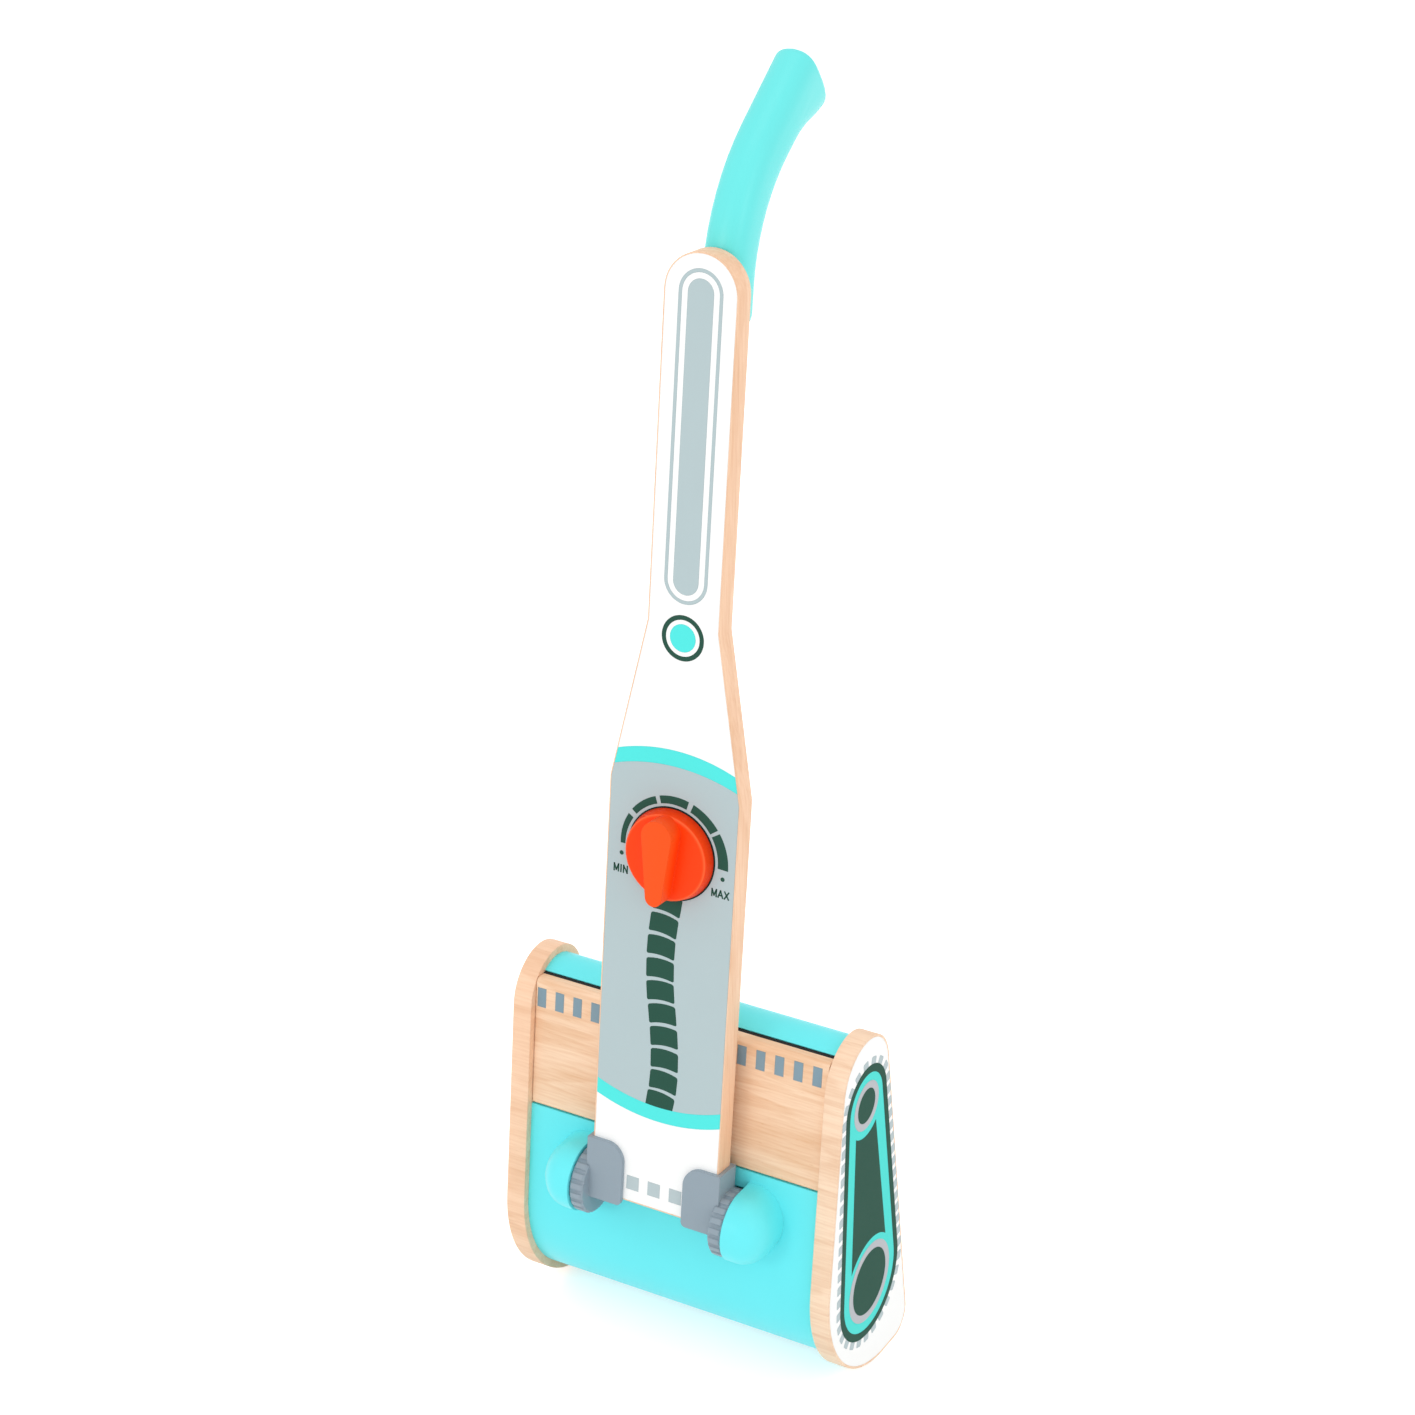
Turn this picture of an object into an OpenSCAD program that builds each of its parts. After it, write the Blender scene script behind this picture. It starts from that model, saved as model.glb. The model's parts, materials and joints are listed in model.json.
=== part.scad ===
// Toy vacuum cleaner: a push-along head between two wooden end plates, and a wooden stick
// hinged to its front, with a turning dial and a bent grip.
// Millimetres. X runs to the right, Y to the back and Z up from the floor.
// Places in the head are measured behind the hinge axis (Y) and above the floor (Z).
// Places on the stick are measured across it (X), behind its front face (Y) and up along it (Z).

/* [Head] */
// Width of the head over both end plates
head_w = 166; // [150:1:190]
// Thickness of a wooden end plate
end_plate_t = 9.4; // [8:0.1:12]
// Radius of the narrow upper end of an end plate
top_r = 21.9; // [20:0.1:24]
// Distance of that end's centre behind the hinge
top_y = 34.6; // [32:0.1:37]
// Height of that end's centre
top_z = 157.5; // [150:0.5:170]
// Radius of the broad lower front of an end plate
nose_r = 57.5; // [54:0.5:60]
// Distance of its centre behind the hinge
nose_y = 59.9; // [58:0.1:63]
// Radius of the lower back corner of an end plate
heel_r = 11; // [9:0.5:14]
// Distance of its centre behind the hinge
heel_y = 70.1; // [67:0.1:74]

/* [Shells and panels] */
// Depth of the shells and panels inside the rims of the end plates
setback = 3.6; // [2.5:0.1:4.5]
// Wall of the plastic shells
shell_t = 3; // [2.4:0.1:3.6]
// Thickness of the wooden front panel
panel_t = 8; // [6:0.5:10]
// Height of the front panel's lower edge
panel_low_z = 111.6; // [109:0.1:120]
// Width of the dark slot above the front panel
slot_w = 1.4; // [1:0.1:2.4]
// Direction of that slot from the centre of the upper end, in degrees
slot_dir = 123; // [110:1:130]
// Depth of the seal in the slot
seal_depth = 1.2; // [0.8:0.1:1.8]
// Thickness of the wooden sole
sole_t = 6; // [5:0.5:8]
// Height of the sole's lower edge
sole_low_z = 24; // [22:0.5:26]
// Height of the sole's upper edge
sole_top_z = 150; // [147:0.5:154]
// Joint line between neighbouring shells and panels
joint_gap = 0.8; // [0.3:0.1:0.9]
// Gap between the front panel and an end plate
panel_gap = 0.35; // [0.2:0.05:0.6]

/* [Wheels] */
// Radius of the front wheels over their tyres
front_wheel_r = 24; // [20:0.5:26]
// Height at which the front wheels touch the sole's plane
front_wheel_z = 54; // [50:0.5:60]
// Radius of the rear wheels over their tyres
rear_wheel_r = 16; // [13:0.5:18]
// Height at which the rear wheels touch the sole's plane
rear_wheel_z = 125; // [118:0.5:128]
// Reach of the tyres beyond the end plates
wheel_reach = 2.5; // [1.5:0.1:3]
// Width of a wheel
wheel_w = 12; // [9:0.5:14]
// Distance of a wheel's middle from the inner face of its end plate
wheel_in = 27.6; // [22:0.1:34]
// Thickness of a tyre
tyre_t = 2.6; // [2:0.1:4]
// Radius of an axle
axle_r = 3; // [2.5:0.1:4]

/* [Hinge] */
// Height of the hinge axis
hinge_z = 89.8; // [86:0.1:92]
// Distance of the hinge axis behind the stick's front face
hinge_d = 7.1; // [6.5:0.1:8]
// Distance of the hinge axis above the stick's lower end
hinge_w = 1.3; // [0.6:0.1:2]
// Radius of the fluted discs
disc_r = 15.4; // [14:0.1:15.6]
// Reach of a fluted disc beyond its bracket
disc_reach = 5; // [4:0.1:7]
// Flutes round a disc
flutes = 20; // [14:1:26]
// Radius of a flute
flute_r = 1.1; // [0.8:0.1:1.4]
// Radius of the rounded pods that carry the hinge
pod_r = 16.1; // [16:0.1:17]
// Straight length of a pod before its round end
pod_straight = 5.9; // [4:0.1:8]
// Radius of a hinge pin
pin_r = 3; // [2.4:0.1:3.6]
// Wall of the brackets
bracket_t = 2; // [1.6:0.1:2.6]
// Width of a bracket on the front of the stick, inside the stick's edge
bracket_lap = 17.2; // [14:0.1:20]
// Height of a bracket above the stick's lower end
bracket_h = 27; // [24:0.5:30]
// Radius of a bracket's upper inner corner
bracket_r = 9; // [6:0.5:11]

/* [Stick] */
// Width of the stick's lower part
stick_w = 62.8; // [58:0.2:68]
// Width of the stick's upper part
stick_top_w = 34; // [30:0.5:38]
// Thickness of the stick
stick_t = 10.5; // [9:0.1:12]
// Length of the stick
stick_h = 430.6; // [400:0.2:460]
// Height on the stick where it starts to narrow
taper_low = 199.7; // [194:0.1:204]
// Height on the stick where it has its upper width
taper_top = 273; // [266:0.5:282]
// Backward lean of the parked stick, in degrees
lean = 6.13; // [4.5:0.01:7]

/* [Dial] */
// Height of the dial on the stick
dial_w = 170.9; // [160:0.1:174]
// Radius of the dial at its foot
dial_r = 20.6; // [18:0.1:23]
// Radius of the dial at its face
dial_face_r = 19.6; // [17:0.1:20]
// Height of the dial's face
dial_h = 6.1; // [5.4:0.1:8]
// Height of the dial's pointer ridge
pointer_h = 14.4; // [11:0.1:17]
// Radius of the pointer's broad end
pointer_wide_r = 7.2; // [6:0.1:8]
// Radius of the pointer's tip
pointer_tip_r = 3.9; // [2.5:0.1:4.5]
// Distance of the pointer's ends from the dial's middle
pointer_reach = 19.4; // [17:0.1:20.4]
// Radius of the dial's stem
stem_r = 5; // [4:0.1:6]

/* [Grip] */
// Width of the grip
grip_w = 19; // [17:0.1:23]
// Depth of the grip at its foot
grip_foot_d = 20.6; // [18:0.1:23]
// Depth of the grip at its end, without the flare
grip_end_d = 24.9; // [21:0.1:28]
// Distance of the grip's foot below the stick's top
grip_foot_drop = 36.6; // [30:0.1:44]
// Distance of the grip's bend below the stick's top
grip_bend_drop = 17.6; // [10:0.1:22]
// Radius of the bend
grip_bend_r = 74; // [60:1:90]
// Angle of the bend, in degrees
grip_bend = 48; // [35:1:60]
// Straight length beyond the bend
grip_straight = 38.7; // [25:0.1:50]
// Swelling of the grip's end on its under side
grip_flare = 9; // [3:0.1:11]
// Length over which the grip's end swells
grip_flare_len = 28.7; // [20:0.1:36]

/* [Hidden] */
$fn = 96;

// Overrun of every cut
over = 1;
// Radial play of a turning shaft in its hole, and end play along it
run_fit = 0.05;
end_play = 0.3;
// Gap between turning faces
turn_gap = 0.3;

// End plate outline: centres of its arcs and the directions of its two straight rims
top_c = [top_y, top_z];
nose_c = [nose_y, nose_r];
heel_c = [heel_y, heel_r];
function along(a) = [cos(a), sin(a)];
function tangent_dir(c1, r1, c2, r2, side) =
    let (d = c1 - c2) atan2(d.y, d.x) + side * acos((r2 - r1) / norm(d));
front_dir = tangent_dir(top_c, top_r, nose_c, nose_r, 1);
back_dir = tangent_dir(top_c, top_r, heel_c, heel_r, -1);
floor_dir = 270;
// Overlap of the nose's arc with the straight rims, in degrees, and the depth of a straight rim inside its arcs
nose_lap = 8;
rim_tuck = 0.02;
front_off = along(front_dir) * nose_c + nose_r;
back_off = along(back_dir) * heel_c + heel_r;
inner_x = head_w / 2 - end_plate_t;
wheel_x = inner_x - wheel_in;
reach = head_w;

// Shell face in front of the hinge, and the point of the sole's plane at a height
shell_y = (front_off - setback - along(front_dir).y * hinge_z) / along(front_dir).x;
function sole_foot(z) = [(back_off - along(back_dir).y * z) / along(back_dir).x, z];
function wheel_centre(z, r) = sole_foot(z) - along(back_dir) * (r - wheel_reach);
front_wheel_c = wheel_centre(front_wheel_z, front_wheel_r);
rear_wheel_c = wheel_centre(rear_wheel_z, rear_wheel_r);

// Wooden dowels that tie the end plates, and the sockets that hold them
dowel_r = 6;
socket_depth = 5;
dowel_front_c = [18.6, 66];
dowel_back_c = [46, 88];

// Sole: window clearances, corner blocks and screws
window_gap = 2;
block_w = 13;
block_h = 14;
block_d = 10;
block_low_z = 36;
block_top_z = 140;
screw_r = 1.75;
screw_head_r = 3.4;
screw_head_h = 2;
screw_bite = 8;

// Wheels: tyre edges and the depth of the axle sockets
tyre_bevel = 0.9;
axle_socket = 6;
dish_share = 0.62;
dish_depth = 1.5;

// Hinge: bracket and disc faces along X
stick_x = stick_w / 2;
bracket_x = stick_x + bracket_t;
disc_in = stick_x + turn_gap;
disc_out = bracket_x + disc_reach;
pod_x = disc_out + turn_gap;
disc_bevel = 0.9;
slot_gap = 0.7;
pod_draft = 0.15;
pin_bite = 13;
pin_out = pod_x + pin_bite;
washer_t = 0.8;
washer_r = 8;
washer_gap = 0.2;
bracket_foot = 2.6;
bracket_low_r = 2.4;
bracket_screw_in = 8;
bracket_screw_x = stick_x - bracket_screw_in;
bracket_screw_w = [8, 19];
bracket_screw_bite = 7;

// Dial: underside, rim, click ball and fixing
dial_gap = 0.4;
dial_rim_r = 1.6;
click_r = 2;
click_ring_r = 12.5;
click_rise = 0.9;
click_bore_r = 2.1;
click_bore_depth = 8;
click_track_depth = 1.6;
click_track_half = 2.6;
spring_wall = 0.5;
dial_washer_r = 8;
dial_washer_t = 1.2;
dial_screw_bite = 9;

// Grip: rounding of its ends, soft spine, the pad under its foot, and the screws that hold it
grip_low_round = 7;
grip_end_round = 3.6;
grip_power = 2.8;
grip_spine = 0.8;
grip_sides = 32;
grip_round_steps = 5;
grip_straight_steps = 4;
grip_bend_steps = 9;
grip_end_steps = 8;
grip_gap = 1.3;
grip_pad_w = 12;
grip_pad_h = 24;
grip_pad_low = 5;
grip_pad_bite = 3;
grip_screw_up = [9, 26];
grip_screw_r = 2;
grip_head_r = 3.8;
grip_head_gap = 0.3;
grip_head_h = 2.4;
grip_head_in = 9;
grip_head_d = stick_t + grip_head_in;
grip_screw_bite = 7;

// Colours
pale_wood = [0.96, 0.83, 0.68];
sky_blue = [0.40, 0.85, 0.95];
slate_grey = [0.55, 0.60, 0.64];
orange_red = [0.98, 0.32, 0.10];
dark_rubber = [0.16, 0.16, 0.17];
steel = [0.75, 0.76, 0.78];

// Path of the grip in the stick's own plane: [behind the front face, up along it, lean from it]
grip_low = stick_h - grip_foot_drop;
grip_bend_w = stick_h - grip_bend_drop;
grip_d0 = stick_t + grip_foot_d / 2 + grip_gap;
grip_screw_w = [for (up = grip_screw_up) grip_low + up];
grip_rise = grip_bend_w - grip_low;
grip_arc = grip_bend_r * grip_bend * PI / 180;
grip_len = grip_rise + grip_arc + grip_straight;
function grip_at(s) =
    s < grip_rise ? [grip_d0, grip_low + s, 0] :
    s < grip_rise + grip_arc ?
        let (a = (s - grip_rise) / grip_bend_r * 180 / PI)
        [grip_d0 + grip_bend_r * (1 - cos(a)), grip_bend_w + grip_bend_r * sin(a), a] :
    let (r = s - grip_rise - grip_arc)
    [grip_d0 + grip_bend_r * (1 - cos(grip_bend)) + r * sin(grip_bend),
     grip_bend_w + grip_bend_r * sin(grip_bend) + r * cos(grip_bend), grip_bend];
function ease(t) = let (k = min(max(t, 0), 1)) k * k * (3 - 2 * k);
function swell(v) = sign(v) * pow(abs(v), 2 / grip_power);

// Stations along the grip: [distance, drawing-in of the rounded ends]
grip_stations = concat(
    [for (i = [0:grip_round_steps]) let (a = 90 * i / grip_round_steps)
        [grip_low_round * (1 - cos(a)), grip_low_round * (1 - sin(a))]],
    [for (i = [1:grip_straight_steps])
        [grip_low_round + (grip_rise - grip_low_round) * i / grip_straight_steps, 0]],
    [for (i = [1:grip_bend_steps]) [grip_rise + grip_arc * i / grip_bend_steps, 0]],
    [for (i = [1:grip_end_steps])
        [grip_rise + grip_arc + (grip_straight - grip_end_round) * i / grip_end_steps, 0]],
    [for (i = [1:grip_round_steps]) let (a = 90 * i / grip_round_steps)
        [grip_len - grip_end_round * (1 - sin(a)), grip_end_round * (1 - cos(a))]]);
function grip_ring(st) =
    let (p = grip_at(st[0]), t = st[0] / grip_len,
         half = (grip_foot_d + (grip_end_d - grip_foot_d) * t) / 2,
         flare = grip_flare * ease((st[0] - grip_len + grip_flare_len) / grip_flare_len))
    [for (j = [0:grip_sides - 1])
        let (a = 360 * j / grip_sides, cx = swell(cos(a)), cn = swell(sin(a)),
             depth = cn > 0 ? cn * (half + flare - st[1])
                            : cn * (half - st[1]) - grip_spine * (1 - abs(cx)) * ease(t * 3))
        [cx * (grip_w / 2 - st[1]), p[0] + depth * cos(p[2]), p[1] - depth * sin(p[2])]];
grip_points = [for (st = grip_stations) each grip_ring(st)];
grip_rings = len(grip_stations);
grip_faces = concat(
    [for (i = [0:grip_rings - 2], j = [0:grip_sides - 1])
        let (a = i * grip_sides + j, b = i * grip_sides + (j + 1) % grip_sides) each
        [[a, a + grip_sides, b], [b, a + grip_sides, b + grip_sides]]],
    [[for (j = [0:grip_sides - 1]) j]],
    [[for (j = [grip_sides - 1:-1:0]) (grip_rings - 1) * grip_sides + j]]);

// The part's origin lies under the middle of its length, between the pods and the grip's end
grip_back = max([for (p = grip_points) (p.y - hinge_d) * cos(lean) + (p.z - hinge_w) * sin(lean)]);
middle_y = (grip_back - pod_r) / 2;

// Frames
module in_head() {
    translate([0, -middle_y, 0]) children();
}
module in_stick() {
    in_head() translate([0, 0, hinge_z]) rotate([-lean, 0, 0]) translate([0, -hinge_d, -hinge_w])
        children();
}
module in_dial() {
    in_stick() translate([0, 0, dial_w]) rotate([90, 0, 0]) children();
}
module in_sole(c) {
    in_head() translate([0, c.x, c.y]) rotate([back_dir - 90, 0, 0]) children();
}
module on_hinge() {
    translate([0, 0, hinge_z]) rotate([0, 90, 0]) children();
}
// A side outline, drawn as (back, up), from one X to another
module across(x0, x1) {
    translate([x0, 0, 0]) rotate([90, 0, 90]) linear_extrude(height = x1 - x0) children();
}
// A front outline, drawn as (right, up), from one depth to another
module through(d0, d1) {
    translate([0, d1, 0]) rotate([90, 0, 0]) linear_extrude(height = d1 - d0) children();
}

// End plate outline, drawn in by a margin
module head_outline(margin) {
    top_arc = top_r - margin;
    nose_arc = nose_r - margin;
    heel_arc = heel_r - margin;
    nose_front = nose_c + (nose_arc - rim_tuck) * along(front_dir);
    nose_floor = nose_c + nose_arc * along(floor_dir);
    translate(top_c) circle(r = top_arc);
    translate(heel_c) circle(r = heel_arc);
    polygon([
        top_c + (top_arc - rim_tuck) * along(front_dir), nose_front, nose_floor,
        heel_c + heel_arc * along(floor_dir), heel_c + heel_arc * along(back_dir),
        top_c + top_arc * along(back_dir)
    ]);
    intersection() {
        translate(nose_c) circle(r = nose_arc);
        translate(nose_c) polygon([
            [0, 0], reach * along(front_dir - nose_lap), reach * along((front_dir + floor_dir) / 2),
            reach * along(floor_dir + nose_lap)
        ]);
    }
}
// Wall that follows the outline, of a given thickness
module outline_band(thickness) {
    difference() {
        head_outline(setback);
        head_outline(setback + thickness);
    }
}
// Strip along the slot's direction, from one side distance to another
module slot_strip(s0, s1) {
    translate(top_c) rotate(slot_dir - 90) translate([s0, 0]) square([s1 - s0, reach]);
}
// Everything above the front panel's lower edge, on the front side of the head's middle
module above_front(z) {
    translate([top_y - reach, z]) square([reach, reach]);
}
module behind_middle(z0, z1) {
    translate([top_y, z0]) square([reach, z1 - z0]);
}

module end_plate() {
    difference() {
        across(inner_x, head_w / 2) head_outline(0);
        for (c = [top_c, dowel_front_c, dowel_back_c])
            across(inner_x - over, inner_x + socket_depth) translate(c) circle(r = dowel_r);
        for (c = [front_wheel_c, rear_wheel_c])
            across(inner_x - over, inner_x + axle_socket) translate(c) circle(r = axle_r + run_fit);
    }
}
module left_end_plate() {
    color(pale_wood) in_head() mirror([1, 0, 0]) end_plate();
}
module right_end_plate() {
    color(pale_wood) in_head() end_plate();
}

// Everything behind the front rim of the outline, drawn in by a margin
module behind_front(margin) {
    top_arc = top_r - margin;
    translate(top_c) circle(r = top_arc);
    polygon([
        top_c + top_arc * along(front_dir), nose_c + (nose_r - margin) * along(front_dir),
        nose_c + [reach, 0], top_c + [reach, 0]
    ]);
}
module front_panel() {
    half = inner_x - panel_gap;
    color(pale_wood) in_head() across(-half, half) difference() {
        intersection() {
            head_outline(setback);
            above_front(panel_low_z);
        }
        behind_front(setback + panel_t);
        slot_strip(-slot_w / 2, reach);
    }
}

module upper_shell() {
    color(sky_blue) in_head() across(-inner_x, inner_x) difference() {
        intersection() {
            outline_band(shell_t);
            union() {
                slot_strip(slot_w / 2, reach);
                behind_middle(sole_top_z, sole_top_z + reach);
            }
        }
        translate([top_y - reach, sole_top_z - reach]) square([reach + reach, reach]);
    }
}

module slot_seal() {
    color(dark_rubber) in_head() across(-inner_x, inner_x) intersection() {
        difference() {
            head_outline(setback + seal_depth);
            head_outline(setback + shell_t);
        }
        slot_strip(-slot_w / 2, slot_w / 2);
    }
}

// Half outline of a pod, drawn as (away from the hinge axis, outwards): straight, then round
module pod_profile(r) {
    square([r, pod_straight]);
    translate([0, pod_straight]) intersection() {
        circle(r = r);
        square([r, r]);
    }
}
// Rounded pod on the shell's front that carries one end of the hinge:
// its front is round about the hinge axis, and its back runs straight into the shell, a draft smaller
module pod() {
    back_y = shell_y + shell_t;
    difference() {
        on_hinge() translate([0, 0, pod_x]) rotate(-90) rotate_extrude() pod_profile(pod_r);
        translate([pod_x - over, back_y, hinge_z - pod_r - over])
            cube([pod_straight + pod_r + 2 * over, pod_r, 2 * pod_r + 2 * over]);
    }
    translate([pod_x, back_y, hinge_z]) rotate([90, 0, 0]) linear_extrude(height = back_y)
        rotate(-90) {
            pod_profile(pod_r - pod_draft);
            mirror([1, 0]) pod_profile(pod_r - pod_draft);
        }
}
// Room that the fluted disc, the hinge pin and the friction washer take out of a pod and the shell
module hinge_room() {
    on_hinge() translate([0, 0, disc_in - slot_gap])
        cylinder(r = disc_r + slot_gap, h = pod_x - disc_in + slot_gap);
    on_hinge() translate([0, 0, pod_x - over]) cylinder(r = pin_r, h = pin_out - pod_x + over);
    on_hinge() translate([0, 0, pod_x - over])
        cylinder(r = washer_r + washer_gap, h = washer_t + over);
}
module both_sides() {
    children();
    mirror([1, 0, 0]) children();
}
module lower_shell() {
    color(sky_blue) in_head() difference() {
        union() {
            across(-inner_x, inner_x) difference() {
                outline_band(shell_t);
                above_front(panel_low_z - joint_gap);
                behind_middle(sole_low_z - joint_gap, reach + reach);
            }
            both_sides() pod();
        }
        both_sides() hinge_room();
    }
}

// Distance of the end plates' back plane from a wheel's axis
function rim_depth(r) = r - wheel_reach;
// Round-ended window in the sole for one wheel, square to the sole
module wheel_window(c, r) {
    half_w = wheel_w / 2 + window_gap;
    inner = rim_depth(r) - setback - sole_t;
    half_h = sqrt(r * r - inner * inner) + window_gap - half_w;
    for (s = [-1, 1]) in_sole(c) translate([s * wheel_x, 0, inner - over])
        linear_extrude(height = sole_t + over + over) {
            translate([-half_w, -half_h]) square([half_w + half_w, half_h + half_h]);
            for (e = [-1, 1]) translate([0, e * half_h]) circle(r = half_w);
        }
}
// Places of the corner blocks and their screws, on the sole's inner face
module at_blocks() {
    for (z = [block_low_z, block_top_z], s = [-1, 1]) in_sole(sole_foot(z))
        translate([s * (inner_x - block_w / 2), 0, -setback - sole_t]) children();
}
module sole_screw() {
    translate([0, 0, -screw_bite]) cylinder(r = screw_r, h = screw_bite + sole_t - screw_head_h);
    translate([0, 0, sole_t - screw_head_h])
        cylinder(r1 = screw_r, r2 = screw_head_r, h = screw_head_h);
}
module sole_plate() {
    color(pale_wood) difference() {
        in_head() across(-inner_x, inner_x) intersection() {
            outline_band(sole_t);
            behind_middle(sole_low_z, sole_top_z - joint_gap);
        }
        wheel_window(front_wheel_c, front_wheel_r);
        wheel_window(rear_wheel_c, rear_wheel_r);
        at_blocks() sole_screw();
    }
}
module corner_blocks() {
    color(pale_wood) difference() {
        at_blocks() translate([-block_w / 2, -block_h / 2, -block_d]) cube([block_w, block_h, block_d]);
        at_blocks() sole_screw();
    }
}
module sole_screws() {
    color(steel) at_blocks() sole_screw();
}

module tie_dowel(c) {
    half = inner_x + socket_depth;
    color(pale_wood) in_head() across(-half, half) translate(c) circle(r = dowel_r);
}

// One wheel on the right, its tyre and its axle, about the wheel's own centre
module on_axle(c, x) {
    in_head() translate([x, c.x, c.y]) rotate([0, 90, 0]) children();
}
module wheel(c, r, side) {
    rim = r - tyre_t;
    color(pale_wood) on_axle(c, side * wheel_x) difference() {
        translate([0, 0, -wheel_w / 2]) cylinder(r = rim, h = wheel_w);
        translate([0, 0, -wheel_w]) cylinder(r = axle_r, h = wheel_w + wheel_w);
        for (e = [-1, 1]) translate([0, 0, e * (wheel_w / 2)]) rotate_extrude()
            translate([axle_r + tyre_t, -dish_depth])
            square([rim * dish_share - axle_r, dish_depth + dish_depth]);
    }
}
module tyre(c, r, side) {
    rim = r - tyre_t;
    half = wheel_w / 2;
    color(dark_rubber) on_axle(c, side * wheel_x) rotate_extrude() polygon([
        [rim, -half], [r - tyre_bevel, -half], [r, tyre_bevel - half],
        [r, half - tyre_bevel], [r - tyre_bevel, half], [rim, half]
    ]);
}
module axle(c) {
    half = inner_x + axle_socket - end_play;
    color(steel) on_axle(c, 0) translate([0, 0, -half]) cylinder(r = axle_r, h = half + half);
}

module hinge_pin() {
    color(steel) in_head() on_hinge() translate([0, 0, bracket_x + end_play])
        cylinder(r = pin_r, h = pin_out - bracket_x - end_play);
}
module friction_washer() {
    color(steel) in_head() on_hinge() translate([0, 0, pod_x]) difference() {
        cylinder(r = washer_r, h = washer_t);
        translate([0, 0, -over]) cylinder(r = pin_r, h = washer_t + over + over);
    }
}

// The stick's outline, drawn as (right, up)
module stick_outline() {
    top_half = stick_top_w / 2;
    polygon([
        [-stick_x, 0], [stick_x, 0], [stick_x, taper_low], [top_half, taper_top],
        [top_half, stick_h - top_half], [-top_half, stick_h - top_half],
        [-top_half, taper_top], [-stick_x, taper_low]
    ]);
    translate([0, stick_h - top_half]) circle(r = top_half);
}
module bracket_screw_places() {
    for (w = bracket_screw_w, s = [-1, 1]) translate([s * bracket_screw_x, stick_t, w])
        rotate([-90, 0, 0]) children();
}
module bracket_screw() {
    translate([0, 0, -bracket_screw_bite]) cylinder(r = screw_r, h = bracket_screw_bite + bracket_t);
    translate([0, 0, bracket_t]) cylinder(r = screw_head_r, h = screw_head_h);
}
module grip_screw_places() {
    for (w = grip_screw_w) translate([0, 0, w]) rotate([-90, 0, 0]) children();
}
module grip_screw() {
    translate([0, 0, stick_t - grip_screw_bite])
        cylinder(r = grip_screw_r, h = grip_head_d - stick_t + grip_screw_bite);
    translate([0, 0, grip_head_d]) cylinder(r = grip_head_r, h = grip_head_h);
}
module stick_board() {
    color(pale_wood) difference() {
        in_stick() through(0, stick_t) stick_outline();
        in_dial() translate([0, 0, -stick_t - over])
            cylinder(r = stem_r + run_fit, h = stick_t + over + over);
        in_dial() translate([0, -click_ring_r, -click_bore_depth])
            cylinder(r = click_bore_r, h = click_bore_depth + over);
        in_stick() bracket_screw_places() bracket_screw();
        in_stick() grip_screw_places() grip_screw();
    }
}

// Upright plate of a bracket, drawn as (right, up), with its rounded inner corners
module bracket_plate() {
    w = bracket_lap + bracket_t;
    difference() {
        translate([stick_x - bracket_lap, -bracket_foot]) square([w, bracket_h + bracket_foot]);
        translate([stick_x - bracket_lap, bracket_h - bracket_r]) difference() {
            translate([-over, 0]) square([bracket_r + over, bracket_r + over]);
            translate([bracket_r, 0]) circle(r = bracket_r);
        }
        translate([stick_x - bracket_lap, -bracket_foot]) difference() {
            translate([-over, -over]) square([bracket_low_r + over, bracket_low_r + over]);
            translate([bracket_low_r, bracket_low_r]) circle(r = bracket_low_r);
        }
    }
}
// Fluted disc about its own axis
module fluted_disc() {
    t = disc_out - disc_in;
    difference() {
        rotate_extrude() polygon([
            [0, 0], [disc_r - disc_bevel, 0], [disc_r, disc_bevel],
            [disc_r, t - disc_bevel], [disc_r - disc_bevel, t], [0, t]
        ]);
        for (i = [0:flutes - 1]) rotate(360 * i / flutes) translate([disc_r, 0, -over])
            cylinder(r = flute_r, h = t + over + over);
    }
}
module bracket() {
    difference() {
        union() {
            through(-bracket_t, 0) bracket_plate();
            through(stick_t, stick_t + bracket_t) bracket_plate();
            translate([stick_x, -bracket_t, -bracket_foot])
                cube([bracket_t, stick_t + 2 * bracket_t, bracket_h + bracket_foot]);
            translate([stick_x - bracket_lap + bracket_low_r, -bracket_t, -bracket_foot])
                cube([bracket_lap + bracket_t - bracket_low_r, stick_t + 2 * bracket_t, bracket_foot]);
            translate([disc_in, hinge_d, hinge_w]) rotate([0, 90, 0]) fluted_disc();
        }
        translate([bracket_x, hinge_d, hinge_w]) rotate([0, 90, 0])
            cylinder(r = pin_r + run_fit, h = disc_reach + over);
        bracket_screw_places() bracket_screw();
    }
}
module bracket_left() {
    color(slate_grey) in_stick() mirror([1, 0, 0]) bracket();
}
module bracket_right() {
    color(slate_grey) in_stick() bracket();
}
module bracket_screws() {
    color(steel) in_stick() bracket_screw_places() bracket_screw();
}

module grip() {
    color(sky_blue) in_stick() difference() {
        union() {
            polyhedron(points = grip_points, faces = grip_faces);
            translate([-grip_pad_w / 2, stick_t, grip_low + grip_pad_low])
                cube([grip_pad_w, grip_gap + grip_pad_bite, grip_pad_h]);
        }
        grip_screw_places() translate([0, 0, stick_t - over])
            cylinder(r = grip_screw_r, h = grip_head_d - stick_t + over);
        grip_screw_places() translate([0, 0, grip_head_d])
            cylinder(r = grip_head_r + grip_head_gap, h = grip_foot_d);
    }
}
module grip_screws() {
    color(steel) in_stick() grip_screw_places() grip_screw();
}

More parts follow.
